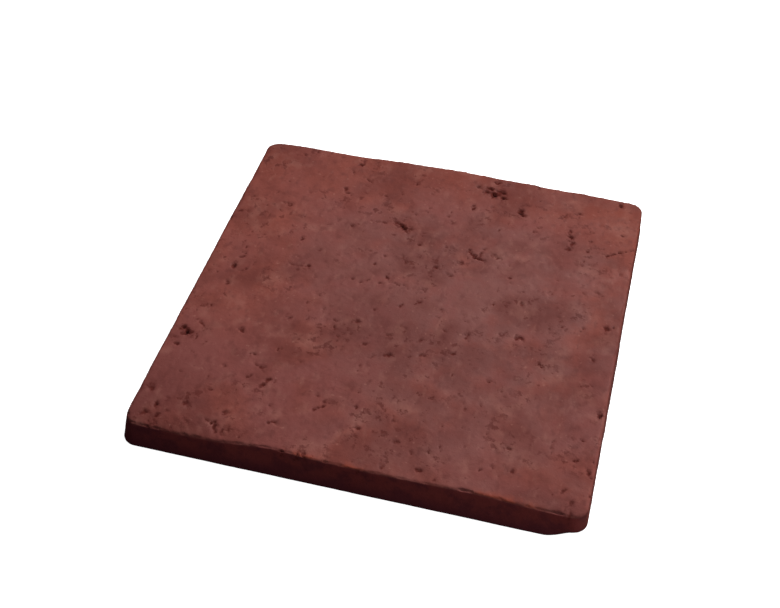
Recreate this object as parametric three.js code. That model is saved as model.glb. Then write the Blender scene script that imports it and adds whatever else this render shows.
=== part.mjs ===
// Clay roof brick: a flat, square tile of fired clay, pressed in a wooden mould and lifted out by hand.
// It is one solid. It lies on its bed, in millimetres, with +Z up and +Y to the back.
// The origin is the centre of the bed.

import * as THREE from 'three';
import { LoftGeometry } from 'three/addons/geometries/LoftGeometry.js';
import { mergeVertices } from 'three/addons/utils/BufferGeometryUtils.js';

// Overall size, at the foot of the walls.
const width = 232.5;
const depth = 232;
const thickness = 20;

// Each wall leans in by this much from its foot to its top, so that the clay leaves the mould.
const wallLean = 1.2;
// The left wall slumped outwards at its foot while the clay was soft.
const leftWallLean = 3.5;

// Corners, seen from above.
const frontRightRadius = 7;
const backRightRadius = 8;
const backLeftRadius = 8;
const frontLeftRadius = 7;

// The edge between the bed and the walls.
const bedEdgeRadius = 3;

// The edge between the walls and the top is crisper, and wider than it is high.
const topEdgeWidth = 1.6;
const topEdgeHeight = 1.2;

// Waves of the hand-made edges, as steps in millimetres that are evenly spread from left to right.
// The back wall falls this far short of its straight line, and bulges in the middle.
const backWallShort = [2.1, 1.3, 1.5, 0.4, 0, 0.7, 1.9, 2.5, 3.4];
// The top of the front wall is rubbed back this far, and the wall's foot stays straight.
const frontTopWorn = [0.2, 0.1, 0.2, 1.6, 0.4, 0.1, 0.3, 1.0, 0.3, 0.1];
// The front edge of the top sinks this far, near both ends.
const frontEdgeSunk = [2.0, 2.6, 2.1, 0.2, 0, 0, 0, 0.2, 1.4, 2.0];
// How far the waves of a wall reach into the tile, and how far back the top starts to sink.
const waveReach = 20;
const shoulderWidth = 14;

// The foot of the front wall is worn away towards the right corner: how far along the wall this
// starts, how deep it gets at the corner, and how high it reaches.
const wornLength = 20;
const wornDepth = 7;
const wornHeight = 9;

// How finely the rounded shapes are divided.
const cornerSteps = 8;
const wallSteps = 26;
const edgeSteps = 4;
const wallLevels = 4;
const shoulderSteps = 4;
const smallestRadius = 1;

const quarterTurn = Math.PI / 2;

// A smooth line through evenly spread steps, read at a place along the wall.
function waveAlongWall(steps) {
	const curve = new THREE.SplineCurve(steps.map((step, i) => new THREE.Vector2(i, step)));
	return (x) => Math.max(0, curve.getPoint(THREE.MathUtils.clamp(x / width + 0.5, 0, 1)).y);
}

const backShortAt = waveAlongWall(backWallShort);
const frontWornAt = waveAlongWall(frontTopWorn);
const frontSunkAt = waveAlongWall(frontEdgeSunk);

// The height above the foot of the wall, from 0 to 1.
function wallShare(z) {
	return THREE.MathUtils.clamp((z - bedEdgeRadius) / (thickness - bedEdgeRadius), 0, 1);
}

// From 1 at a wall or a face, smoothly down to 0 at the end of its reach.
function nearness(distance, reach) {
	return 1 - THREE.MathUtils.smoothstep(distance, 0, reach);
}

// How far the foot of the front wall is worn away, by the place along it and the height.
function wornAt(x, z) {
	return wornDepth * nearness(width / 2 - x, wornLength) * nearness(z, wornHeight);
}

// The four corners at a height, in order round the tile: the place where the two walls would meet,
// the way to the middle of the tile, the direction that the arc starts in, and its radius.
function cornersAt(z) {
	const lean = wallLean * wallShare(z);
	const left = leftWallLean * wallShare(z) - width / 2;
	const right = width / 2 - lean;
	const front = lean - depth / 2;
	const back = depth / 2 - lean;
	return [
		{ x: right, y: front, inX: -1, inY: 1, start: -quarterTurn, radius: frontRightRadius },
		{ x: right, y: back, inX: -1, inY: -1, start: 0, radius: backRightRadius },
		{ x: left, y: back, inX: 1, inY: -1, start: quarterTurn, radius: backLeftRadius },
		{ x: left, y: front, inX: 1, inY: 1, start: 2 * quarterTurn, radius: frontLeftRadius },
	];
}

// The straight-sided outline of the tile at a height, drawn in from the walls by an inset. It runs
// counterclockwise from the front right corner.
function outlineAt(z, inset) {
	const arcs = cornersAt(z).map((corner) => {
		const radius = Math.max(corner.radius - inset, smallestRadius);
		const middle = new THREE.Vector2(
			corner.x + corner.inX * (inset + radius),
			corner.y + corner.inY * (inset + radius),
		);
		return Array.from({ length: cornerSteps + 1 }, (_, i) => {
			const angle = corner.start + (quarterTurn * i) / cornerSteps;
			return new THREE.Vector2(Math.cos(angle), Math.sin(angle))
				.multiplyScalar(radius)
				.add(middle);
		});
	});
	return arcs.flatMap((arc, i) => {
		const from = arc[cornerSteps];
		const to = arcs[(i + 1) % arcs.length][0];
		const wall = Array.from({ length: wallSteps - 1 }, (_, step) =>
			from.clone().lerp(to, (step + 1) / wallSteps),
		);
		return [...arc, ...wall];
	});
}

// One ring of the tile's skin at a height, drawn in from the walls by an inset. The waves of the
// walls shape it, and near the front it sinks by a share of what the top does.
function ring(z, inset, sunkShare) {
	return outlineAt(z, inset).map(({ x, y }) => {
		const fromFront = y + depth / 2;
		const fromBack = depth / 2 - y;
		const pushedBack = frontWornAt(x) * wallShare(z) + wornAt(x, z);
		const shift =
			pushedBack * nearness(fromFront, waveReach) -
			backShortAt(x) * nearness(fromBack, waveReach);
		const sunk = sunkShare * frontSunkAt(x) * nearness(fromFront, shoulderWidth);
		return new THREE.Vector3(x, y + shift, z - sunk);
	});
}

// A ring of the rounded edge round the bed, from the bed at 0 to the wall at 1.
function bedEdgeRing(share) {
	const angle = quarterTurn * share;
	const z = bedEdgeRadius * (1 - Math.cos(angle));
	return ring(z, bedEdgeRadius * (1 - Math.sin(angle)), 0);
}

// A ring of the wall, from the bed's edge at 0 to the top's edge at 1.
function wallRing(share) {
	const z = THREE.MathUtils.lerp(bedEdgeRadius, thickness - topEdgeHeight, share);
	return ring(z, 0, share);
}

// A ring of the rounded edge round the top, from the wall at 0 to the top at 1.
function topEdgeRing(share) {
	const angle = quarterTurn * share;
	const z = thickness - topEdgeHeight * (1 - Math.sin(angle));
	return ring(z, topEdgeWidth * (1 - Math.cos(angle)), 1);
}

// A ring of the top, from its edge at 0 to where it is flat at 1.
function shoulderRing(share) {
	return ring(thickness, topEdgeWidth + shoulderWidth * share, 1);
}

// Evenly spread shares, from 0 up to the last one below 1.
function shares(count) {
	return Array.from({ length: count }, (_, i) => i / count);
}

function roofBrickGeometry() {
	const rings = [
		...shares(edgeSteps).map(bedEdgeRing),
		...shares(wallLevels).map(wallRing),
		...shares(edgeSteps).map(topEdgeRing),
		...shares(shoulderSteps).map(shoulderRing),
		shoulderRing(1),
	];
	const loft = new LoftGeometry(rings, { capStart: true, capEnd: true });
	const skin = new THREE.BufferGeometry().copy(loft);
	skin.deleteAttribute('uv');
	skin.deleteAttribute('normal');
	const closed = mergeVertices(skin);
	closed.computeVertexNormals();
	return closed;
}

const firedClay = new THREE.MeshStandardMaterial({
	name: 'fired_clay',
	color: 0x77453f,
	roughness: 0.9,
	metalness: 0,
});

const roofBrick = new THREE.Mesh(roofBrickGeometry(), firedClay);
roofBrick.name = 'roof_brick';

const part = new THREE.Group();
part.name = 'clay_roof_brick';
part.add(roofBrick);

export default part;
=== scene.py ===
# %% [markdown]
# # A clay roof brick
#
# A clay roof brick is a flat, square tile of fired clay. Someone pressed soft clay into a shallow
# wooden mould, wiped the top level with a wet hand, turned the tile out, and fired it in a kiln. It
# is one piece, so this lesson makes one mesh. The exact solid comes from a CAD model, which sets
# its size and stays hidden underneath. The mesh here takes over its look: uneven edges, pits,
# creases and grain.

import math
import random

import bmesh
import bpy
import numpy as np
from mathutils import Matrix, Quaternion, Vector, noise


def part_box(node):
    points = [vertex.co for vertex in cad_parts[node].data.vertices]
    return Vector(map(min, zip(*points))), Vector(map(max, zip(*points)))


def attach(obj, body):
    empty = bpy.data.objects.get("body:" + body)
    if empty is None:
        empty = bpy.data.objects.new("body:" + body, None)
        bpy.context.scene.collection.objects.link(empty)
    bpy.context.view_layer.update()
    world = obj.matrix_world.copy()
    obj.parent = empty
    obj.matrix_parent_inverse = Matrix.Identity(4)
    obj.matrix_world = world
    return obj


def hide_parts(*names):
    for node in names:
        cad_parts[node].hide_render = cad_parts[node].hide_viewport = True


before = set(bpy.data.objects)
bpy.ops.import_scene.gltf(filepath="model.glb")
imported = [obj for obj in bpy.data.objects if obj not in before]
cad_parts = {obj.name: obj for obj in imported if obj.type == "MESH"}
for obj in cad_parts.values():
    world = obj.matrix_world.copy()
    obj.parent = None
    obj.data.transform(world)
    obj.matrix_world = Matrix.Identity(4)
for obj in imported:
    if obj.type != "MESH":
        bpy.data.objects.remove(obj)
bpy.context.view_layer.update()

# %% [markdown]
# ## Sizes
#
# Blender works in metres, and a tile is easier to think about in millimetres. So every length on
# the tile is written in millimetres below, and it is turned into metres at the last moment. Only
# the studio's floor and lamps are in metres. The tile's overall size is read from the CAD solid,
# and only the shape of its corners, edges and walls is stated again.

# %% Sizes of the tile, in millimetres
MM = 0.001
tile_low, tile_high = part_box("roof_brick")
tile_size = Vector(tile_high) - Vector(tile_low)
WIDTH, DEPTH, THICKNESS = (side / MM for side in tile_size)
HALF_WIDTH = WIDTH / 2
HALF_DEPTH = DEPTH / 2
WALL_LEAN = 1.2
LEFT_WALL_LEAN = 3.5
BED_EDGE = 3.0
TOP_EDGE_WIDTH = 1.6
TOP_EDGE_HEIGHT = 1.2
print(f"tile: {WIDTH:.1f} x {DEPTH:.1f} x {THICKNESS:.1f} mm")

# %% [markdown]
# ## Camera
#
# The camera comes first, because every later choice is judged through it. It looks down on the tile
# at 45 degrees from a little to the right of the front, and it leans by a quarter of a degree, as a
# camera held by hand does. `to_track_quat` turns the camera's -Z axis, its line of sight, towards
# the point to aim at.

# %% Camera
CAMERA_PLACE = Vector((109.1, -450.4, 485.0)) * MM
CAMERA_AIM = Vector((-6.5, -4.8, 20.0)) * MM
CAMERA_ROLL = math.radians(0.25)
CAMERA_LENS = 56.62

bpy.ops.object.select_all(action="DESELECT")
bpy.ops.object.camera_add(location=CAMERA_PLACE)
camera = bpy.context.active_object
camera.name = "camera"
camera.data.lens = CAMERA_LENS
camera.rotation_mode = "QUATERNION"
look = (CAMERA_AIM - CAMERA_PLACE).to_track_quat("-Z", "Y")
camera.rotation_quaternion = look @ Quaternion((0, 0, 1), CAMERA_ROLL)
bpy.context.scene.camera = camera
print("camera is", round((CAMERA_AIM - CAMERA_PLACE).length / MM), "mm from the tile")

# %% [markdown]
# ## Studio
#
# The tile lies on a plain white floor. The floor glows by itself, so it stays evenly white right up
# to the tile. Its light would also fill the shaded front wall from below, as a mirror would.
# Turning off the floor's diffuse and glossy visibility keeps that wall dark, as it is beside a
# black card in a studio. The view transform is Standard, so a colour in a material is the colour in
# the picture.

# %% Floor
FLOOR_HALF = 3.0

bpy.ops.object.select_all(action="DESELECT")
bpy.ops.mesh.primitive_plane_add(size=2 * FLOOR_HALF, location=(0, 0, 0))
floor = bpy.context.active_object
floor.name = "studio_floor"
floor.visible_diffuse = False
floor.visible_glossy = False

paper = bpy.data.materials.new("white_paper")
paper.use_nodes = True
paper_shader = paper.node_tree.nodes["Principled BSDF"]
paper_shader.inputs["Base Color"].default_value = (0.9, 0.9, 0.9, 1)
paper_shader.inputs["Roughness"].default_value = 1.0
paper_shader.inputs["Specular IOR Level"].default_value = 0.0
paper_shader.inputs["Emission Color"].default_value = (1, 1, 1, 1)
paper_shader.inputs["Emission Strength"].default_value = 1.0
floor.data.materials.append(paper)

bpy.context.scene.view_settings.view_transform = "Standard"
print("floor:", 2 * FLOOR_HALF, "m square")

# %% [markdown]
# ## Lights
#
# One large soft lamp stands behind the tile on the right, high up. It lights the top and leaves the
# front wall in shade, and each pit gets a dark side and a bright side. A faint, low lamp close to
# the right end of the front wall lets that wall fade from right to left. The sky above fills the
# shade a little. The World shader reads the direction of each ray: it is dim white above the
# horizon and black below it, where a real tile would see only its own shadow on the table. A Light
# Path node hides that sky behind a plain white backdrop, which lights nothing.

# %% Lights
def add_lamp(name, azimuth, elevation, distance, size, power):
    """A round soft lamp that looks at the tile. It stands behind the tile at azimuth 0, and on its
    right at azimuth 90."""
    turn, rise = math.radians(azimuth), math.radians(elevation)
    level = distance * math.cos(rise)
    lamp_place = Vector((level * math.sin(turn), level * math.cos(turn), distance * math.sin(rise)))
    bpy.ops.object.select_all(action="DESELECT")
    bpy.ops.object.light_add(type="AREA", location=lamp_place)
    lamp = bpy.context.active_object
    lamp.name = name
    lamp.data.shape = "DISK"
    lamp.data.size = size
    lamp.data.energy = power
    lamp.rotation_mode = "QUATERNION"
    lamp.rotation_quaternion = (-lamp_place).to_track_quat("-Z", "Y")


add_lamp("key_lamp", azimuth=25, elevation=46, distance=2.2, size=0.6, power=54.0)
add_lamp("side_fill", azimuth=124, elevation=6, distance=0.55, size=0.2, power=0.6)

# %% Sky and backdrop
SKY_STRENGTH = 0.2
SKY_COLOUR = (1.0, 0.9, 1.0, 1)
HORIZON_BLUR = 0.05

world = bpy.data.worlds.new("studio")
bpy.context.scene.world = world
world.use_nodes = True
sky = world.node_tree
background = sky.nodes["Background"]
direction = sky.nodes.new("ShaderNodeTexCoord")
split = sky.nodes.new("ShaderNodeSeparateXYZ")
horizon = sky.nodes.new("ShaderNodeMapRange")
horizon.inputs["From Min"].default_value = -HORIZON_BLUR
horizon.inputs["From Max"].default_value = HORIZON_BLUR
horizon.inputs["To Max"].default_value = SKY_STRENGTH
sky.links.new(direction.outputs["Generated"], split.inputs[0])
sky.links.new(split.outputs["Z"], horizon.inputs["Value"])
sky.links.new(horizon.outputs["Result"], background.inputs["Strength"])
background.inputs["Color"].default_value = SKY_COLOUR
backdrop = sky.nodes.new("ShaderNodeBackground")
backdrop.inputs["Color"].default_value = (1, 1, 1, 1)
ray = sky.nodes.new("ShaderNodeLightPath")
choice = sky.nodes.new("ShaderNodeMixShader")
sky.links.new(ray.outputs["Is Camera Ray"], choice.inputs["Fac"])
sky.links.new(background.outputs["Background"], choice.inputs[1])
sky.links.new(backdrop.outputs["Background"], choice.inputs[2])
sky.links.new(choice.outputs["Shader"], sky.nodes["World Output"].inputs["Surface"])
print("sky:", len(sky.nodes), "nodes")

# %% [markdown]
# ## The block
#
# The tile starts as a cube of the tile's full size. It could be remeshed from a beveled box, but a
# regular grid is better here: every pit is pressed into it later, and even squares take a dent
# equally well in every direction. `subdivide` splits the edges that are selected, so the edges
# along one axis at a time are picked by their direction. One call makes at most 100 cuts, so the
# long sides are split twice. The top gets squares of just under a millimetre.

# %% Cube at the tile's size
bpy.ops.object.select_all(action="DESELECT")
bpy.ops.mesh.primitive_cube_add(size=1, location=(tile_low + tile_high) / 2, scale=tile_size)
tile = bpy.context.active_object
tile.name = "fired_clay_tile"
bpy.ops.object.transform_apply(location=True, rotation=True, scale=True)
print("cube:", [round(side / MM, 1) for side in tile.dimensions], "mm")

# %% Split it into small squares
LONG_CUTS = (11, 21)
WALL_CUTS = (15,)
SQUARES_ACROSS = math.prod(count + 1 for count in LONG_CUTS)
SQUARES_UP = math.prod(count + 1 for count in WALL_CUTS)


def split_edges_along(axis, *cuts):
    """Splits every edge that runs along an axis, once for each number of cuts."""
    for count in cuts:
        mesh = bmesh.from_edit_mesh(tile.data)
        for edge in mesh.edges:
            run = edge.verts[1].co - edge.verts[0].co
            edge.select = abs(run[axis]) > 0.9 * run.length
        mesh.select_flush_mode()
        bmesh.update_edit_mesh(tile.data)
        bpy.ops.mesh.subdivide(number_cuts=count)


bpy.ops.object.mode_set(mode="EDIT")
bpy.ops.mesh.select_mode(type="EDGE")
for axis, cuts in enumerate([LONG_CUTS, LONG_CUTS, WALL_CUTS]):
    split_edges_along(axis, *cuts)
bpy.ops.object.mode_set(mode="OBJECT")
print("block:", len(tile.data.polygons), "faces,", SQUARES_ACROSS, "across and", SQUARES_UP, "up")

# %% [markdown]
# ## Reading and writing points
#
# Moving 150 000 points one by one in Python is slow. NumPy moves them all at once: `foreach_get`
# copies the mesh's coordinates into one array, and `foreach_set` copies them back. `across`,
# `along` and `height` keep each point's place in the plain block, which tells later steps what a
# point belongs to.

# %% Helpers for points
def read_points():
    """The mesh's points, as rows of x, y and z in millimetres."""
    points = np.empty(len(tile.data.vertices) * 3, np.float32)
    tile.data.vertices.foreach_get("co", points)
    return points.reshape(-1, 3).astype(float) / MM


def write_points(points):
    """Moves the mesh's points to new places, in millimetres."""
    tile.data.vertices.foreach_set("co", (points * MM).astype(np.float32).ravel())
    tile.data.update()


def smooth_step(value, start, end):
    """0 before start, 1 after end, and a soft S between them."""
    share = np.clip((value - start) / (end - start), 0, 1)
    return share * share * (3 - 2 * share)


def nearness(distance, reach):
    """1 at a wall or a face, and smoothly down to 0 at the end of its reach."""
    return 1 - smooth_step(distance, 0, reach)


# %% Where each point of the block is
TOUCHING = 1e-3

block = read_points()
across, along, height = block.T
from_wall = np.minimum(HALF_WIDTH - abs(across), HALF_DEPTH - abs(along))
on_top = height > THICKNESS - TOUCHING
on_bed = height < TOUCHING
on_wall = from_wall < TOUCHING
print("points on the top:", int(on_top.sum()))

# %% [markdown]
# ## Rounded corners
#
# Seen from above, the mould's corners are round. A bevel would do that to a plain cube, but it
# would break the even grid. So the squares near each corner are bent into quarter circles instead:
# a point keeps its ring, counted from the centre of the arc, and slides along it. `facing` holds
# the direction that each wall point looks in.

# %% Bend the corners
# A corner is 1 or -1 for right or left, 1 or -1 for back or front, and its radius.
CORNERS = [(-1, -1, 7.0), (1, -1, 7.0), (1, 1, 8.0), (-1, 1, 8.0)]

side_is_near = HALF_WIDTH - abs(across) < HALF_DEPTH - abs(along)
facing = np.stack([
    np.where(side_is_near, np.sign(across), 0.0),
    np.where(side_is_near, 0.0, np.sign(along)),
], axis=1)
points = block.copy()
for right, back, radius in CORNERS:
    past_x = right * across - (HALF_WIDTH - radius)
    past_y = back * along - (HALF_DEPTH - radius)
    inside = (past_x > 0) & (past_y > 0)
    ring = np.maximum(past_x, past_y)
    ratio = np.minimum(past_x, past_y) / np.where(inside, ring, 1)
    turn = np.where(past_x >= past_y, ratio, 2 - ratio) * math.pi / 4
    bent_x = right * (HALF_WIDTH - radius + ring * np.cos(turn))
    bent_y = back * (HALF_DEPTH - radius + ring * np.sin(turn))
    points[inside, 0] = bent_x[inside]
    points[inside, 1] = bent_y[inside]
    facing[inside, 0] = (right * np.cos(turn))[inside]
    facing[inside, 1] = (back * np.sin(turn))[inside]
print("corner points bent:", int((points != block).any(axis=1).sum()))

# %% [markdown]
# ## Rounded edges
#
# The edge between wall and top is crisp, and a little wider than it is high, where the wet hand
# wiped over it. The edge round the bed is a larger, even round. Each is a quarter of an ellipse:
# half of it is drawn from the wall's rows of points and half from the top's, which are first drawn
# up to the edge.

# %% Round the edges
EDGE_ROWS = 3
SPREAD_ROWS = 8


def round_edge(points, from_face, on_face, width, drop):
    """Rounds the edge between the walls and a face. The first few rows of points on both sides
    of the edge share the round, and the next ones are spread evenly over what is left."""
    face_step = WIDTH / SQUARES_ACROSS
    wall_step = THICKNESS / SQUARES_UP
    row = np.where(on_face, from_wall / face_step, -from_face / wall_step)
    share = np.clip(row / EDGE_ROWS, -1, 1)
    angle = (1 + share) * math.pi / 4
    inset = width * (1 - np.cos(angle))
    sunk = drop * (1 - np.sin(angle))
    past_face = np.clip(row - EDGE_ROWS, 0, None)
    reach_face = (SPREAD_ROWS * face_step - width) / (SPREAD_ROWS - EDGE_ROWS)
    inset = np.where(row > EDGE_ROWS, width + past_face * reach_face, inset)
    past_wall = np.clip(-row - EDGE_ROWS, 0, None)
    reach_wall = (SPREAD_ROWS * wall_step - drop) / (SPREAD_ROWS - EDGE_ROWS)
    sunk = np.where(row < -EDGE_ROWS, drop + past_wall * reach_wall, sunk)
    on_the_face = on_face & (row < SPREAD_ROWS)
    on_the_wall = on_wall & ~on_face & (-row < SPREAD_ROWS)
    changed = on_the_face | on_the_wall
    points[changed, :2] -= (facing * (inset - from_wall)[:, None])[changed]
    return np.where(changed, sunk, from_face), changed


top_sunk, top_changed = round_edge(
    points, THICKNESS - height, on_top, TOP_EDGE_WIDTH, TOP_EDGE_HEIGHT
)
bed_sunk, bed_changed = round_edge(points, height, on_bed, BED_EDGE, BED_EDGE)
points[top_changed, 2] = THICKNESS - top_sunk[top_changed]
points[bed_changed, 2] = bed_sunk[bed_changed]
print("points in the rounded edges:", int((top_changed | bed_changed).sum()))

# %% [markdown]
# ## Leaning, wavy walls
#
# The walls lean in as they rise, and the left one slumped outwards at its foot while the clay was
# soft. The back wall bulges in the middle, the front edge is rubbed back in places and sinks near
# both ends, and the foot of the front wall is worn away at the right corner. Each wave is a smooth
# line through a few steps, spread evenly from left to right, and it fades out a short way into the
# tile.

# %% Lean and wave the walls
BACK_WALL_SHORT = [2.1, 1.3, 1.5, 0.4, 0, 0.7, 1.9, 2.5, 3.4]
FRONT_TOP_WORN = [0.2, 0.1, 0.2, 1.6, 0.4, 0.1, 0.3, 1.0, 0.3, 0.1]
FRONT_EDGE_SUNK = [2.0, 2.6, 2.1, 0.2, 0, 0, 0, 0.2, 1.4, 2.0]
WAVE_REACH = 20.0
SHOULDER_WIDTH = 14.0
WORN_LENGTH = 20.0
WORN_DEPTH = 7.0
WORN_HEIGHT = 9.0


def wave(steps, x):
    """A smooth line through steps that are evenly spread from left to right, read at x."""
    place = np.clip(x / WIDTH + 0.5, 0, 1) * (len(steps) - 1)
    first = np.minimum(place.astype(int), len(steps) - 2)
    t = place - first
    padded = np.pad(np.array(steps, float), 1, mode="edge")
    before, start, end, after = (padded[first + k] for k in range(4))
    leave = (end - before) / 2
    arrive = (after - start) / 2
    line = (
        (2 * start - 2 * end + leave + arrive) * t**3
        + (3 * end - 3 * start - 2 * leave - arrive) * t**2
        + leave * t
        + start
    )
    return np.maximum(line, 0)


x, y, z = points.T
wall_share = np.clip((z - BED_EDGE) / (THICKNESS - BED_EDGE), 0, 1)
lean = np.where(x < 0, LEFT_WALL_LEAN, WALL_LEAN)
x = x * (1 - lean * wall_share / HALF_WIDTH)
y = y * (1 - WALL_LEAN * wall_share / HALF_DEPTH)
from_front = y + HALF_DEPTH
from_back = HALF_DEPTH - y
worn = WORN_DEPTH * nearness(HALF_WIDTH - x, WORN_LENGTH) * nearness(z, WORN_HEIGHT)
pushed = wave(FRONT_TOP_WORN, x) * wall_share + worn
shift = pushed * nearness(from_front, WAVE_REACH)
shift -= wave(BACK_WALL_SHORT, x) * nearness(from_back, WAVE_REACH)
near_top = np.clip((z - THICKNESS / 2) / (THICKNESS / 2 - TOP_EDGE_HEIGHT), 0, 1)
shoulder = np.clip(1 - from_front / SHOULDER_WIDTH, 0, 1) ** 2
sunk = near_top * wave(FRONT_EDGE_SUNK, x) * shoulder
points = np.stack([x, y + shift, z - sunk], axis=1)
write_points(points)
print("shaped box:", points.min(axis=0).round(2), points.max(axis=0).round(2))

# %% [markdown]
# ## Uneven clay
#
# Hand-pressed clay is never flat. Three Displace modifiers with Clouds textures give it swells as
# wide as a palm, lumps as wide as a thumb, and grain. Each pushes points along their normals, by
# grey values of the texture, and a middle level of 0.5 keeps the tile's size. A vertex group
# weakens them on the walls, where the outline shows, and takes the bed out, because the tile has to
# lie flat.

# %% Displace the skin
SWELLS = [("palm_swells", 34.0, 1, 0.9), ("thumb_lumps", 8.0, 2, 0.6), ("grain", 2.6, 2, 0.36)]
LOOSE_CLAY = "loose_clay"
WALL_LOOSENESS = 0.55
FOOT_LOOSENESS = 0.25
FOOT_HEIGHT = 2.0

loose = tile.vertex_groups.new(name=LOOSE_CLAY)
looseness = np.where(on_top, 1.0, WALL_LOOSENESS)
looseness = np.where(height < FOOT_HEIGHT, FOOT_LOOSENESS, looseness)
looseness = np.where(on_bed, 0.0, looseness)
for weight in (1.0, WALL_LOOSENESS, FOOT_LOOSENESS):
    loose.add(np.flatnonzero(looseness == weight).tolist(), weight, "REPLACE")

bpy.ops.object.select_all(action="DESELECT")
tile.select_set(True)
bpy.context.view_layer.objects.active = tile
for name, size, octaves, strength in SWELLS:
    clouds = bpy.data.textures.new(name, "CLOUDS")
    clouds.noise_scale = size * MM
    clouds.noise_depth = octaves
    swell = tile.modifiers.new(name, "DISPLACE")
    swell.texture = clouds
    swell.texture_coords = "LOCAL"
    swell.mid_level = 0.5
    swell.strength = strength * MM
    swell.vertex_group = LOOSE_CLAY
    bpy.ops.object.modifier_apply(modifier=name)
points = read_points()
print("after the clouds:", points.min(axis=0).round(2), points.max(axis=0).round(2))

# %% [markdown]
# ## Pits and creases
#
# Grit and air leave pits, and the wiping hand tears short creases. They could be sculpted with a
# brush, but a brush stroke can't be written down as plainly as a list. So each pit is an ellipse,
# with its place, size, turn and depth in millimetres, and each crease is a line with a width and a
# depth. The outlines must not look drawn. So every point of the clay looks up its place in a
# slightly crumpled map: noise moves that place by up to about two millimetres, and round pits come
# out ragged. The finish darkens each pit and a little way round it, with earth and with painted
# shade, so `stain_and_shade` reaches wider than `pressed`, and the finish reads both as `hollow`.

# %% Crumpled map of the tile's top
RAGGED_SIZE = 2.8
FINE_RAGGED_SIZE = 1.1
FINE_RAGGED_SHARE = 0.5
RAGGED_SHIFT = 1.9
NOISE_APART = 500.0
UPPER_BAND = 6.0

upper = np.flatnonzero(height > THICKNESS - UPPER_BAND)
top_points = points[upper]


def noise_at(places, size):
    """Perlin noise at many places, with lumps of a size in millimetres."""
    return np.array([noise.noise(Vector(place) / size) for place in places])


def crumpled(places, size):
    """Noise to the right and to the back: the same noise, looked up at two far-apart places."""
    return np.stack([noise_at(places, size), noise_at(places + NOISE_APART, size)], axis=1)


crumple = crumpled(top_points, RAGGED_SIZE)
crumple += FINE_RAGGED_SHARE * crumpled(top_points, FINE_RAGGED_SIZE)
map_x, map_y = (top_points[:, :2] + RAGGED_SHIFT * crumple).T
print("map moved by up to", round(RAGGED_SHIFT * abs(crumple).max(), 1), "mm")

# %% How a pit and a crease are pressed
PIT_EDGE = 1.25
LIP_PLACE = 1.5
LIP_WIDTH = 0.35
LIP_SHARE = 0.2
CREASE_EDGE = 0.6
CREASE_END = 0.35
STAIN_AND_SHADE_REACH = 2.2
STAIN_AND_SHADE_SHARE = 0.42
NEAR_MARGIN = 2.0

pressed = np.zeros(len(upper))
stain_and_shade = np.zeros(len(upper))


def press_pit(x, y, length, width, turn, depth):
    """An elliptic pit with a raised lip: its centre, its full length and width, its turn in degrees
    and its depth. Its edge, lip and darkened ring, where the finish paints earth and shade, are
    placed in shares of its own radius."""
    reach = STAIN_AND_SHADE_REACH * (length + width) / 2 + NEAR_MARGIN
    near = np.flatnonzero((abs(map_x - x) < reach) & (abs(map_y - y) < reach))
    angle = math.radians(turn)
    right, away = map_x[near] - x, map_y[near] - y
    u = (right * math.cos(angle) + away * math.sin(angle)) / (length / 2)
    v = (away * math.cos(angle) - right * math.sin(angle)) / (width / 2)
    distance = np.hypot(u, v)
    dent = depth * nearness(distance, PIT_EDGE)
    lip = LIP_SHARE * depth * np.exp(-(((distance - LIP_PLACE) / LIP_WIDTH) ** 2))
    pressed[near] = np.maximum(pressed[near], dent) - lip * (distance > 1)
    stain_and_shade_ring = STAIN_AND_SHADE_SHARE * depth * nearness(distance, STAIN_AND_SHADE_REACH)
    stain_and_shade[near] = np.maximum(stain_and_shade[near], stain_and_shade_ring)


def press_crease(width, depth, *stops):
    """A crease along straight stretches between its stops, shallower towards both ends."""
    lengths = [math.dist(a, b) for a, b in zip(stops, stops[1:])]
    walked = 0.0
    dent = np.zeros(len(upper))
    stain_and_shade_ring = np.zeros(len(upper))
    for (x0, y0), (x1, y1), length in zip(stops, stops[1:], lengths):
        along_line = ((map_x - x0) * (x1 - x0) + (map_y - y0) * (y1 - y0)) / length**2
        share = np.clip(along_line, 0, 1)
        distance = np.hypot(map_x - x0 - share * (x1 - x0), map_y - y0 - share * (y1 - y0))
        gone = (walked + share * length) / sum(lengths)
        fade = CREASE_END + (1 - CREASE_END) * np.sin(math.pi * np.clip(gone, 0, 1))
        dent = np.maximum(dent, depth * fade * nearness(distance, width * CREASE_EDGE))
        halo = nearness(distance, width * STAIN_AND_SHADE_REACH / 2)
        stain_and_shade_ring = np.maximum(stain_and_shade_ring, STAIN_AND_SHADE_SHARE * depth * fade * halo)
        walked += length
    np.maximum(pressed, dent, out=pressed)
    np.maximum(stain_and_shade, stain_and_shade_ring, out=stain_and_shade)


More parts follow.
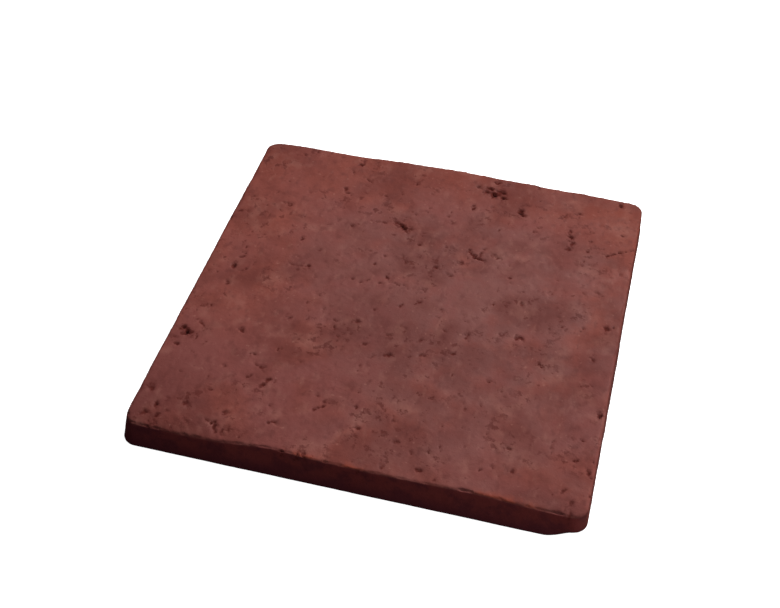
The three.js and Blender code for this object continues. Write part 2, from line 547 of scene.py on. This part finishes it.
# %% The large pits and creases
# A pit is its centre to the right and to the back, its length and width, its turn and its depth.
PITS = [
    # Along the back, from left to right.
    (-98.6, 94.5, 6.5, 1.6, -60, 0.5), (-61.8, 90.9, 2.4, 2, 0, 0.6),
    (-16.8, 95.5, 2.4, 2.4, 0, 1.0), (-5.5, 88, 1.6, 2.2, 0, 0.5), (-4.5, 72.7, 2.4, 1.8, 20, 0.7),
    (29.4, 109.5, 4.6, 2.8, 0, 1.6), (25.5, 99.6, 6, 3.6, 20, 1.7), (30.4, 98.4, 6, 5.4, 0, 2.4),
    (35.6, 96.6, 4.4, 3.2, -50, 1.7), (31, 102.6, 3.6, 2.4, 0, 1.2), (47.5, 87, 3.4, 5.2, 15, 2.0),
    (50.6, 83.6, 3.6, 1.6, -55, 0.9), (20.3, 83.2, 2.6, 5.2, 0, 1.4),
    (8.9, 76.8, 1.4, 3.4, 10, 0.7), (58, 71.8, 1.8, 3.8, 10, 0.8), (38, 67.3, 2.2, 1.8, 0, 0.8),
    (67.5, 67.7, 2.2, 1.6, 0, 0.6), (79, 72.6, 4.0, 3.6, 0, 1.6), (78.5, 62.3, 2.6, 4.2, 20, 1.6),
    (82.5, 61.8, 1.8, 2.6, 0, 0.6), (89.8, 71, 2.6, 2.2, -30, 1.1), (89, 61.8, 2.6, 2.2, 0, 0.7),
    (88.5, 54.5, 2.4, 2.2, 0, 1.1), (89.8, 80, 6, 2.6, 20, 0.45), (100.7, 62.7, 2.6, 2.0, 10, 1.2),
    (109, 65.5, 2.4, 2.6, 0, 1.2), (102.4, 108, 2.6, 5.2, 10, 1.7), (106.6, 92.7, 3, 1.6, -20, 0.5),
    (92.5, 52.7, 5.6, 3.6, 0, 0.5),
    # The middle.
    (-56.4, 49, 3.4, 2.8, 0, 0.5), (-42.7, 48.2, 2.6, 1.8, 0, 0.5), (-9.5, 48.2, 2.0, 2.4, 0, 0.8),
    (-22.3, 22.7, 1.6, 3, 0, 0.5), (-13.2, 14.6, 2.2, 4.4, 20, 1.2),
    (34.4, 41.4, 3.8, 2.0, -25, 1.6), (52, 32.3, 2.8, 2.2, -20, 0.8), (47, 9, 2.8, 2.6, -30, 1.2),
    (6.6, 10.5, 3.2, 2.2, 20, 0.9), (2, 10, 3.0, 1.4, 0, 0.5), (73.5, 25, 2.2, 1.8, 0, 0.6),
    (66.6, 18, 1.6, 1.8, 0, 0.5), (99, 13.6, 2.2, 1.8, 0, 0.9), (101.6, 31, 6, 4.6, 30, 0.5),
    (108, 6.4, 2.6, 5.0, 20, 1.5), (111.3, 8.2, 2.0, 2.2, 0, 1.2), (96, 3.6, 1.8, 3.0, 10, 0.9),
    (82, 8, 1.6, 4.0, 10, 0.5), (-95.4, 18, 2.2, 2.8, 0, 1.0), (-94.8, 14, 2.6, 2.2, 0, 1.1),
    (-95.2, 10, 2.2, 2.0, 0, 0.8), (-98.8, 19, 2.4, 1.6, 0, 0.8), (-97.3, 2.9, 2.8, 3.8, 30, 1.6),
    (-76.8, -2, 3.0, 2.2, 0, 1.0), (-96, -11.4, 3.0, 4.0, 20, 0.9), (-98, -29.4, 3.0, 3.2, 0, 1.2),
    (-76.4, -42.5, 1.8, 2.0, 0, 1.0), (-1, -4.6, 3.4, 2.0, 0, 1.0), (21.6, -2.5, 4.0, 3.0, 40, 0.5),
    (36, -7, 3.4, 2.4, 0, 0.5), (26, -17, 2.4, 4.6, 0, 0.7), (37.6, -17, 3.6, 5.0, 0, 0.8),
    (54.6, -11.6, 5.0, 2.2, -10, 0.8), (64.4, -11.8, 4.8, 3.0, 10, 1.1),
    (79, -3.5, 2.0, 5.0, 0, 0.6), (94, -16, 2.0, 1.6, 0, 1.0), (104, -17, 2.4, 5.6, 0, 1.2),
    (66, -24, 1.6, 1.6, 0, 0.6), (-57.3, -27, 2.6, 2.8, 0, 0.6), (-63.6, -24.4, 2.2, 1.8, 0, 0.4),
    (-49.5, -15.3, 3.0, 1.8, 0, 0.5), (-30.5, -23.5, 3.0, 2.0, 0, 0.8),
    (-30.5, -28.4, 3.0, 4.0, 0, 1.1), (-24.5, -32.5, 2.4, 1.8, 0, 0.9),
    (-26, -38, 2.4, 1.8, 0, 1.0), (-11.8, -36, 3.6, 3.0, 0, 0.8), (-2, -27, 5.4, 4.0, 20, 0.7),
    (1.6, -40.6, 6.2, 3.0, 25, 1.2), (18.9, -36.6, 4.2, 3.0, 0, 0.9),
    # The left edge's large pit, and the marks round it.
    (-103.4, -51.6, 5.4, 4.4, -20, 2.8), (-106.6, -49.4, 3.6, 3.0, 0, 2.0),
    (-97.3, -53.4, 1.8, 8.0, 0, 0.8),
    # Along the front, from left to right.
    (-65.5, -57.5, 3.2, 1.8, 0, 0.9), (-56.8, -65.3, 2.6, 2.8, 20, 1.2),
    (-53.6, -76.6, 4.2, 2.4, -10, 1.1), (-46.4, -87, 2.4, 2.8, 0, 0.7),
    (-78.2, -86.2, 3.2, 1.4, 20, 0.7), (-72.7, -84.4, 2.4, 1.4, 20, 0.7),
    (-100.6, -100.8, 2.4, 7.0, 15, 1.2), (-86.6, -97.4, 3.2, 9.0, 35, 0.8),
    (-25, -75.3, 2.2, 2.4, 0, 1.1), (-4.5, -78, 2.4, 2.0, 0, 1.0), (-1.8, -86, 2.0, 2.0, 0, 0.9),
    (-0.6, -90, 4.6, 2.8, -25, 1.1), (-9, -52.5, 2.4, 3.0, 0, 0.5), (12, -92.5, 3.0, 1.8, 20, 0.8),
    (28.5, -98.5, 3.0, 1.8, 0, 0.8), (15.7, -74.8, 2.0, 2.0, 0, 0.8),
    (15.4, -80.6, 1.8, 4.4, 25, 1.0), (29.4, -70.3, 1.8, 2.4, 0, 0.7),
    (29.8, -79.8, 1.8, 2.2, 0, 0.8), (39.4, -80.7, 2.0, 3.6, 25, 0.8), (49, -77, 1.6, 1.8, 0, 0.7),
    (60.7, -78, 1.6, 1.4, 0, 0.6), (60.7, -88, 1.4, 1.6, 0, 0.7), (52.5, -88, 1.6, 1.4, 0, 0.6),
    (37, -97.5, 1.4, 1.4, 0, 0.8), (42, -93.5, 1.6, 1.4, 0, 0.7), (34, -108, 3.6, 2.4, 0, 1.1),
    (77.5, -97, 2.0, 1.8, 0, 0.8), (88.5, -106, 1.6, 1.4, 0, 0.8), (72.4, -84, 2.4, 2.6, 0, 0.9),
    (101.6, -69.8, 2.6, 2.2, 0, 1.0), (106, -70.7, 2.4, 1.8, 0, 1.1),
    (104.8, -83, 2.8, 2.2, 0, 1.8), (112.4, -52.6, 3.2, 6.6, 10, 1.8),
    # Round the deepest pits, where more clay broke out.
    (26, 103, 5, 3, 0, 1.5), (34, 101, 6, 3.6, -20, 1.9), (49, 84.6, 4.4, 4, -40, 1.6),
    (-13, 54.6, 5, 4, -40, 1.5), (80, 67, 3.4, 6, 15, 1.2), (-105, -53, 4, 3.4, 20, 1.6),
    # Shallow marks in clusters, from the left pit and the front left corner to right of the middle.
    (-99, -44, 3, 5, -30, 0.6), (-94, -48, 3.4, 2, 10, 0.6), (-92, -56, 2.4, 6, 0, 0.5),
    (-108, -57, 3, 3, 0, 0.8), (-107, -91, 4, 9, 20, 0.8), (-104, -107, 7, 3, 0, 0.9),
    (-94, -104, 4, 3, 0, 0.6), (-62, -108, 7, 3, 10, 0.7), (44, 38, 2, 5, 20, 0.5),
    (49, 42, 2, 5, 15, 0.45), (53, 27, 5, 1.6, 0, 0.5), (60, 22, 5, 1.8, 0, 0.5),
    (43, 30, 4, 1.5, -20, 0.5), (47, 20, 1.8, 5, 10, 0.5), (38, 14, 4, 1.6, 0, 0.45),
    (26, 2, 5, 1.8, 5, 0.5), (33, -3, 5, 1.6, 0, 0.5), (-12, 70, 7, 1.8, -10, 0.5),
    (-26, 58, 8, 2, 15, 0.6), (-8, 50, 2, 5, -20, 0.7), (-40, -18, 2, 6, 15, 0.5),
    (-46, -26, 2, 6, 15, 0.5), (-54, -38, 6, 1.8, 0, 0.5), (-6, -44, 7, 2.4, 10, 0.6),
]
# A crease is its width, its depth and the stops that it runs through.
CREASES = [
    (1.5, 0.9, (-58, 99), (-54, 95)), (1.3, 0.8, (-49, 93), (-44.5, 92), (-41.8, 88.8)),
    (1.6, 1.1, (-57.9, 83), (-55.4, 79.4), (-50.6, 75)), (1.6, 0.6, (-23.6, 86.6), (-21.6, 83)),
    (1.4, 0.5, (-22, 67), (-14, 65), (-6, 61.5)),
    (2.6, 2.0, (-20.4, 59.6), (-15.5, 57), (-11.8, 52.4)), (1.5, 1.1, (-11.6, 58.4), (-9, 54)),
    (2.0, 1.5, (24.2, 47.9), (28, 44.4), (36.4, 40.8)), (1.3, 0.9, (32.6, 49), (32.2, 43.4)),
    (1.6, 0.6, (37, 48.6), (45, 42.6)), (1.6, 1.0, (75.6, 81.5), (79, 74.4)),
    (1.3, 1.4, (94, 63.4), (100.7, 62.8), (107.2, 67), (116, 71.4)),
    (2.0, 0.5, (-71, 13.8), (-67, 11.2), (-62, 10.8)),
    (1.3, 0.6, (-12, 11.6), (-4, 10.2), (2, 8.6)), (1.8, 0.7, (-47.4, -41.4), (-41.4, -43.8)),
    (1.6, 0.9, (-61.8, -62.4), (-56.4, -67.6)),
    (2.0, 1.2, (-19.6, -78.6), (-20.4, -82), (-25, -85.4)),
    (1.8, 1.1, (-101.8, -41.4), (-96.4, -46.4)),
    (1.9, 1.1, (-43.4, -98.4), (-40.6, -97.6), (-38.4, -99.4)),
    (2.2, 1.3, (-74, -104.2), (-69, -105.4), (-67, -110.4)), (2.0, 1.6, (110.6, -86.6), (114, -91)),
    (1.3, 0.7, (-14, -9), (-12, -13.6)), (1.2, 0.6, (96, -67.6), (92, -76), (93.4, -84)),
]
for pit in PITS:
    press_pit(*pit)
for crease in CREASES:
    press_crease(*crease)
print("large marks:", len(PITS), "pits and", len(CREASES), "creases")
print("deepest:", round(pressed.max(), 2), "mm")

# %% [markdown]
# ## Small pits
#
# The smallest grit leaves hundreds of pits of a millimetre or two. Nobody would list them one by
# one, so dice throw them. The dice have a fixed seed, and every run makes the same tile. Grit lies
# in clumps, so a throw counts only where two noises, a wide one and a tight one, are high enough.
# Most pits are tiny, because a number between 0 and 1 gets small when it is raised to the fourth
# power.

# %% The small pits
SMALL_PITS = 520
SEED = 11
WIDE_CLUMP = 26.0
TIGHT_CLUMP = 7.0
TIGHT_SHARE = 0.25
SMALLEST, SMALL, EXTRA_SIZE = 0.9, 1.5, 1.6
LONGEST = 1.7
SHALLOWEST, DEEPEST = 0.2, 0.5
BAREST, MOST_CROWDED = -0.25, 0.5

dice = random.Random(SEED)
placed = 0
while placed < SMALL_PITS:
    to_right = dice.uniform(-HALF_WIDTH, HALF_WIDTH)
    to_back = dice.uniform(-HALF_DEPTH, HALF_DEPTH)
    centre = Vector((to_right, to_back, 0))
    crowd = noise.noise(centre / WIDE_CLUMP) + TIGHT_SHARE * noise.noise(centre / TIGHT_CLUMP)
    if crowd < dice.uniform(BAREST, MOST_CROWDED):
        continue
    size = dice.uniform(SMALLEST, SMALL) + dice.random() ** 4 * EXTRA_SIZE
    length = size * dice.uniform(1, LONGEST)
    turn = dice.uniform(0, 180)
    depth = size * dice.uniform(SHALLOWEST, DEEPEST)
    press_pit(centre.x, centre.y, length, size, turn, depth)
    placed += 1
print("small pits:", placed)

# %% [markdown]
# ## Broken edge
#
# Where the top meets the walls, small crumbs have broken off, so the edge wanders in and out. Noise
# picks where crumbs are missing, and the clay is taken away on the slant, from above and from the
# side. A point near the edge reads the noise close to the edge itself. So a crumb leaves one gap in
# the top and the wall, and no thin lip stays between them.

# %% Crumble the upper edge
CRUMB_SIZES = [(9.0, 1.7), (3.6, 1.1), (1.4, 0.4)]
CRUMB_LEVEL = 0.05
CRUMB_DOWN = 0.5
CRUMB_IN = 0.45
EDGE_BAND = 3.2
EDGE_PULL = 0.8
FULL_DEPTH_BAND = 1.0

below_top = THICKNESS - height
edge_distance = np.where(on_top[upper], from_wall[upper], below_top[upper])
edge_share = nearness(edge_distance, EDGE_BAND)
edge_place = block[upper].copy()
edge_place[:, :2] += facing[upper] * (EDGE_PULL * from_wall[upper])[:, None]
edge_place[:, 2] += EDGE_PULL * below_top[upper]
missing = np.zeros(len(upper))
for size, bite in CRUMB_SIZES:
    missing += bite * np.clip(noise_at(edge_place, size) - CRUMB_LEVEL, 0, None)
missing *= edge_share
pressed_here = pressed * smooth_step(below_top[upper], UPPER_BAND, FULL_DEPTH_BAND)
points[upper, 2] -= pressed_here + CRUMB_DOWN * missing
points[upper, :2] -= facing[upper] * (CRUMB_IN * missing)[:, None]
write_points(points)
print("crumbs up to", round(missing.max(), 2), "mm")

# %% [markdown]
# ## Wiped level
#
# The wet hand pressed the highest lumps flat and left the low places alone. So whatever stands
# above the tile's thickness is squeezed to about a third. It keeps the tile at its real size too.
# No point may lie below the floor.

# %% Squeeze the high lumps
HIGH_SHARE = 0.3

above = np.clip(points[:, 2] - THICKNESS, 0, None)
points[:, 2] = np.maximum(points[:, 2] - (1 - HIGH_SHARE) * above, 0)
write_points(points)
print("highest point:", round(points[:, 2].max(), 2), "mm")

# %% [markdown]
# ## Notes for the finish
#
# The finish has to know where the pits, the front edge and the front wall are, because it paints
# earth and shade into the pits, a highlight on the front edge and shade on the front wall. A
# material can't see that from a pattern alone, so three numbers are stored with each point as
# attributes: `hollow`, how deep it lies in a pit or in the darkened ring round one; `rim`, how near
# it is to the front edge; and `front_wall_shade`, how much it belongs to the front wall, which the
# finish paints as shade.

# %% Store attributes on the mesh
RIM_REACH = 6.0
RIM_DROP = 2.5
WALL_SHADE_REACH = 2.0
WALL_SHADE_START = 0.6
WALL_SHADE_FULL = 3.5

hollow = np.zeros(len(block))
hollow[upper] = np.maximum(pressed, stain_and_shade)
to_front = np.clip(-facing[:, 1], 0, 1)
rim = to_front * nearness(from_wall, RIM_REACH) * nearness(below_top, RIM_DROP)
front_share = to_front * np.where(on_wall, 1, nearness(from_wall, WALL_SHADE_REACH))
front_wall_shade = front_share * smooth_step(below_top, WALL_SHADE_START, WALL_SHADE_FULL)
for name, numbers in {"hollow": hollow, "rim": rim, "front_wall_shade": front_wall_shade}.items():
    layer = tile.data.attributes.new(name, "FLOAT", "POINT")
    layer.data.foreach_set("value", numbers.astype(np.float32))
print("attributes:", [layer.name for layer in tile.data.attributes if not layer.is_internal])

# %% [markdown]
# ## A lighter bed
#
# The bed lies flat on the floor and shows no pits, so it doesn't need the top's fine squares.
# Decimate joins them into larger triangles. It could be a modifier with a vertex group, but the
# edit-mode operator works on just the selected faces and leaves the rest alone.

# %% Decimate the bed
BED_KEPT = 0.1

bpy.ops.object.mode_set(mode="EDIT")
bpy.ops.mesh.select_mode(type="FACE")
mesh = bmesh.from_edit_mesh(tile.data)
for face in mesh.faces:
    face.select_set(all(vert.co.z < TOUCHING * MM for vert in face.verts))
bmesh.update_edit_mesh(tile.data)
bpy.ops.mesh.decimate(ratio=BED_KEPT)
bpy.ops.mesh.select_all(action="SELECT")
bpy.ops.mesh.normals_make_consistent(inside=False)
bpy.ops.object.mode_set(mode="OBJECT")
bpy.ops.object.shade_smooth()
triangles = sum(len(face.vertices) - 2 for face in tile.data.polygons)
print("tile:", triangles, "triangles")

# %% [markdown]
# ## Fired clay
#
# The colour of fired clay is never even. The hot side of the kiln leaves it orange, and the wiping
# hand leaves faint streaks. A grey-mauve veil is partly smoke and partly the lamp's sheen, painted
# into the colour. One noise can't do all of that. So the finish is built as a painter would, from
# wide soft washes down to small crumbs, and each layer is mixed over the ones before. A few layers
# paint light and shade into the colour: that sheen, highlights on the front edge and on small
# bumps, and shade on the front wall, in the hollows and over the front left corner. All patterns
# read Object coordinates, so they are solid: they run through the tile like real clay and need no
# unwrapping. A few helpers keep each layer down to one line.

# %% Node helpers: patterns
clay = bpy.data.materials.new("fired_clay")
clay.use_nodes = True
tree = clay.node_tree
shader = tree.nodes["Principled BSDF"]
position = tree.nodes.new("ShaderNodeTexCoord").outputs["Object"]


def set_input(socket, value):
    """Links a socket to another node's output, or sets it to a plain value."""
    if isinstance(value, bpy.types.NodeSocket):
        tree.links.new(value, socket)
    else:
        socket.default_value = value


def stretched(sizes, turn=0.0):
    """The place on the tile, divided by a size in millimetres along each axis."""
    mapping = tree.nodes.new("ShaderNodeMapping")
    mapping.inputs["Rotation"].default_value[2] = math.radians(turn)
    mapping.inputs["Scale"].default_value = [1 / (size * MM) for size in sizes]
    set_input(mapping.inputs["Vector"], position)
    return mapping.outputs["Vector"]


def clouds_of(size, octaves=2.0, roughness=0.55, turn=0.0, length=1.0):
    """Soft grey noise around 0.5, with lumps of a size in millimetres, or stretched to streaks."""
    clouds = tree.nodes.new("ShaderNodeTexNoise")
    clouds.inputs["Scale"].default_value = 1.0
    clouds.inputs["Detail"].default_value = octaves
    clouds.inputs["Roughness"].default_value = roughness
    set_input(clouds.inputs["Vector"], stretched((size, size * length, size), turn))
    return clouds.outputs["Fac"]


def spot(x, y, radius):
    """1 at a place on the tile, and down to 0 at a radius from it, in millimetres."""
    mapping = tree.nodes.new("ShaderNodeMapping")
    mapping.vector_type = "TEXTURE"
    mapping.inputs["Location"].default_value = (x * MM, y * MM, THICKNESS * MM)
    mapping.inputs["Scale"].default_value = (radius * MM,) * 3
    set_input(mapping.inputs["Vector"], position)
    gradient = tree.nodes.new("ShaderNodeTexGradient")
    gradient.gradient_type = "SPHERICAL"
    set_input(gradient.inputs["Vector"], mapping.outputs["Vector"])
    return gradient.outputs["Fac"]


def attribute(name):
    """A number that is stored with each point."""
    node = tree.nodes.new("ShaderNodeAttribute")
    node.attribute_name = name
    return node.outputs["Fac"]


# %% Node helpers: numbers and paint
def ramp(value, start, end, low=0.0, high=1.0):
    """Turns start..end into low..high with a soft S, and holds both ends."""
    node = tree.nodes.new("ShaderNodeMapRange")
    node.interpolation_type = "SMOOTHSTEP"
    for name, number in (("From Min", start), ("From Max", end), ("To Min", low), ("To Max", high)):
        node.inputs[name].default_value = number
    set_input(node.inputs["Value"], value)
    return node.outputs["Result"]


def maths(way, first, second):
    """One step of arithmetic on two numbers, such as ADD or MULTIPLY."""
    node = tree.nodes.new("ShaderNodeMath")
    node.operation = way
    set_input(node.inputs[0], first)
    set_input(node.inputs[1], second)
    return node.outputs["Value"]


def paint(under, colour, amount):
    """Lays a colour over another one, where amount says how much."""
    node = tree.nodes.new("ShaderNodeMix")
    node.data_type = "RGBA"
    set_input(node.inputs["Factor"], amount)
    set_input(node.inputs[6], under)
    set_input(node.inputs[7], colour)
    return node.outputs[2]


# %% [markdown]
# ## Wide washes
#
# The first layers are as wide as a hand: warm orange where the fire reached the tile, brown where
# the flames touched it, a grey-mauve veil right of the middle that is partly smoke and partly the
# lamp's sheen, painted, and dark patches that stayed cooler, with painted shade over the front left
# corner. Each wash has a centre and a radius. One big gradient would be simpler, but several soft,
# overlapping spots give the cloudy look of a kiln.

# %% Wide washes
BRICK_RED = (0.186, 0.0510, 0.0425, 1)
WARM_ORANGE = (0.232, 0.0560, 0.0370, 1)
FLAME_BROWN = (0.198, 0.0415, 0.0245, 1)
SMOKE_AND_SHEEN_VEIL = (0.181, 0.0610, 0.0510, 1)
DARK_FIRED_AND_SHADE = (0.100, 0.0220, 0.0180, 1)

# A place is its centre to the right and to the back, its radius and, where it varies, its strength.
WARM_PLACES = [
    (-100, 50, 75), (-66, 96, 30), (-20, 130, 70), (118, 60, 60), (116, 10, 40), (-85, -20, 45),
]
# The veil is partly smoke and partly a painted sheen, where the lamp's light glances off the top.
SMOKE_AND_SHEEN_PLACES = [(35, 5, 110, 0.9), (-30, 35, 60, 0.5), (45, 10, 45, 0.6), (40, -85, 80, 0.5)]
BURNT_PLACES = [(-30, 135, 75), (40, 140, 80), (110, 105, 60), (-112, 100, 40)]
# Painted shade: the first dark place darkens the front left corner; the other places are cooler
# clay.
COOL_AND_SHADED_PLACES = [
    (-108, -108, 60, 0.5), (-8, -24, 42, 0.4), (-110, 118, 45, 0.45), (-62, 12, 22, 0.25),
    (-18, 104, 36, 0.3), (34, 100, 26, 0.3), (-60, -28, 26, 0.25), (96, 60, 24, 0.25),
]

colour = paint(BRICK_RED, WARM_ORANGE, ramp(clouds_of(30), 0.42, 0.66, 0.0, 0.55))
for x, y, radius in WARM_PLACES:
    colour = paint(colour, WARM_ORANGE, ramp(spot(x, y, radius), 0.0, 1.0, 0.0, 0.5))
for x, y, radius, amount in SMOKE_AND_SHEEN_PLACES:
    veil = maths("MULTIPLY", spot(x, y, radius), ramp(clouds_of(18, 3.0), 0.3, 0.7, 0.3, 1.4))
    colour = paint(colour, SMOKE_AND_SHEEN_VEIL, ramp(veil, 0.0, 0.7, 0.0, amount))
for x, y, radius in BURNT_PLACES:
    colour = paint(colour, FLAME_BROWN, ramp(spot(x, y, radius), 0.0, 0.8, 0.0, 0.65))
for x, y, radius, amount in COOL_AND_SHADED_PLACES:
    colour = paint(colour, DARK_FIRED_AND_SHADE, ramp(spot(x, y, radius), 0.05, 0.9, 0.0, amount))
print("washes:", len(tree.nodes), "nodes")

# %% [markdown]
# ## Mottles, streaks, crumbs and painted highlights
#
# Over the washes lie smaller patterns, each finer than the one before: dark and pale mottles as
# wide as a thumb, short streaks where the hand wiped, crumbs of red-brown earth that come in
# clumps, and last, tiny pale specks that are painted highlights, where light would catch small
# bumps of the clay. Each is a Noise texture with a narrow ramp, so only its highest lumps show. A
# stretched noise makes the streaks.

# %% Mottles, streaks and crumbs
PALE_DUST_AND_HIGHLIGHT = (0.36, 0.155, 0.118, 1)
EARTH_AND_SHADE = (0.080, 0.0105, 0.0070, 1)

colour = paint(colour, DARK_FIRED_AND_SHADE, ramp(clouds_of(34, 2.0), 0.46, 0.68, 0.0, 0.42))
colour = paint(colour, DARK_FIRED_AND_SHADE, ramp(clouds_of(15, 3.0), 0.48, 0.72, 0.0, 0.42))
colour = paint(colour, PALE_DUST_AND_HIGHLIGHT, ramp(clouds_of(13, 2.0), 0.52, 0.76, 0.0, 0.20))
colour = paint(colour, DARK_FIRED_AND_SHADE, ramp(clouds_of(5.0, 2.0, 0.5, 10, 1.6), 0.54, 0.74, 0.0, 0.40))
colour = paint(colour, PALE_DUST_AND_HIGHLIGHT, ramp(clouds_of(4.2, 2.0, 0.5, 12, 2.0), 0.56, 0.78, 0.0, 0.14))
clumps = ramp(clouds_of(26, 2.0), 0.44, 0.62)
crumbs = maths("MULTIPLY", clumps, ramp(clouds_of(4.4, 3.0, 0.6), 0.55, 0.68))
colour = paint(colour, EARTH_AND_SHADE, maths("MULTIPLY", crumbs, 0.62))
# Painted highlights: tiny pale specks where light would catch small bumps.
colour = paint(colour, PALE_DUST_AND_HIGHLIGHT, ramp(clouds_of(2.6, 1.0), 0.68, 0.82, 0.0, 0.25))
print("with mottles:", len(tree.nodes), "nodes")

# %% [markdown]
# ## Painted edge highlight, painted wall shade, and earth and shade in the hollows
#
# The last layers follow the shape, so they read the attributes that were stored on the mesh. Orange
# is painted on the front edge in two places as a painted highlight, where light catches the edge.
# The front wall is painted dark red as painted shade, darker still at its foot and towards its left
# end. The hollows are darkened with earth and with painted shade, and the deepest ones are almost
# black.

# %% Painted edge highlight, painted wall shade and darkened hollows
GLINT_ORANGE = (0.33, 0.062, 0.030, 1)
DEEP_HOLE = (0.028, 0.0042, 0.0032, 1)
SHADED_WALL_RED = (0.172, 0.0300, 0.0270, 1)
SHADED_WALL_FOOT = (0.078, 0.0130, 0.0200, 1)
WALL_SHADE_FADES = (1.0, 14.0)
FOOT_SHADE = 3.5
LEFT_SHADE = (-85.0, -116.0)
GLINT_PLACES = [(-10, -114, 26), (77, -112, 22)]

# Painted highlight: orange on the front edge in two places, where light catches the edge.
edge_glint = maths("MAXIMUM", *(spot(x, y, radius) for x, y, radius in GLINT_PLACES))
edge_glint = maths("MULTIPLY", ramp(edge_glint, 0.0, 0.6), attribute("rim"))
edge_glint = maths("MULTIPLY", edge_glint, ramp(clouds_of(7, 3.0), 0.40, 0.60, 0.2, 1.0))
colour = paint(colour, GLINT_ORANGE, maths("MULTIPLY", edge_glint, 0.6))
# Painted shade: the front wall is dark red, darker towards its foot and its left end, with dark
# mottles.
split_place = tree.nodes.new("ShaderNodeSeparateXYZ")
set_input(split_place.inputs[0], position)
rise = ramp(split_place.outputs["Z"], *(z * MM for z in WALL_SHADE_FADES))
wall = paint(SHADED_WALL_FOOT, SHADED_WALL_RED, rise)
wall = paint(wall, SHADED_WALL_FOOT, ramp(clouds_of(8, 3.0), 0.42, 0.66, 0.0, 0.65))
wall = paint(wall, DEEP_HOLE, ramp(split_place.outputs["Z"], FOOT_SHADE * MM, 0.0, 0.0, 0.75))
leftwards = ramp(split_place.outputs["X"], *(x * MM for x in LEFT_SHADE), 0.0, 0.6)
wall = paint(wall, SHADED_WALL_FOOT, leftwards)
colour = paint(colour, wall, maths("MULTIPLY", attribute("front_wall_shade"), 0.92))
# Earth and painted shade: the hollows are darkened, and the deepest ones are almost black.
dirt_and_shade = maths("MULTIPLY", attribute("hollow"), ramp(clouds_of(1.8, 2.0), 0.35, 0.65, 0.45, 1.3))
colour = paint(colour, EARTH_AND_SHADE, ramp(dirt_and_shade, 0.03, 0.62, 0.0, 0.82))
colour = paint(colour, DEEP_HOLE, ramp(dirt_and_shade, 0.8, 2.2, 0.0, 0.80))
set_input(shader.inputs["Base Color"], colour)

# %% [markdown]
# ## Surface
#
# Fired clay is matt, and a little smoother where the wet hand closed its pores. Grain that is finer
# than the mesh's squares is left to a Bump node: it tilts the light and not the points. Deep pits
# stay rough.

# %% Roughness and bump
BUMP_HEIGHT = 0.09
SMOOTHEST, ROUGH, PIT_ROUGH = 0.66, 0.82, 0.95

sheen = ramp(clouds_of(16, 3.0), 0.35, 0.65, SMOOTHEST, ROUGH)
pit_sheen = ramp(attribute("hollow"), 0.1, 0.8, 0.0, PIT_ROUGH)
set_input(shader.inputs["Roughness"], maths("MAXIMUM", sheen, pit_sheen))
shader.inputs["Specular IOR Level"].default_value = 0.14

bumps = maths("ADD", clouds_of(1.3, 3.0, 0.6), maths("MULTIPLY", clouds_of(4.0, 3.0, 0.6), 3.0))
bumps = maths("SUBTRACT", bumps, maths("MULTIPLY", crumbs, 1.4))
bump = tree.nodes.new("ShaderNodeBump")
bump.inputs["Strength"].default_value = 1.0
bump.inputs["Distance"].default_value = BUMP_HEIGHT * MM
set_input(bump.inputs["Height"], bumps)
set_input(shader.inputs["Normal"], bump.outputs["Normal"])
tile.data.materials.append(clay)
print("finish:", len(tree.nodes), "nodes")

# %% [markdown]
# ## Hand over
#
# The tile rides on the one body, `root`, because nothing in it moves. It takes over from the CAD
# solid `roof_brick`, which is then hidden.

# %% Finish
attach(tile, "root")
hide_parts("roof_brick")
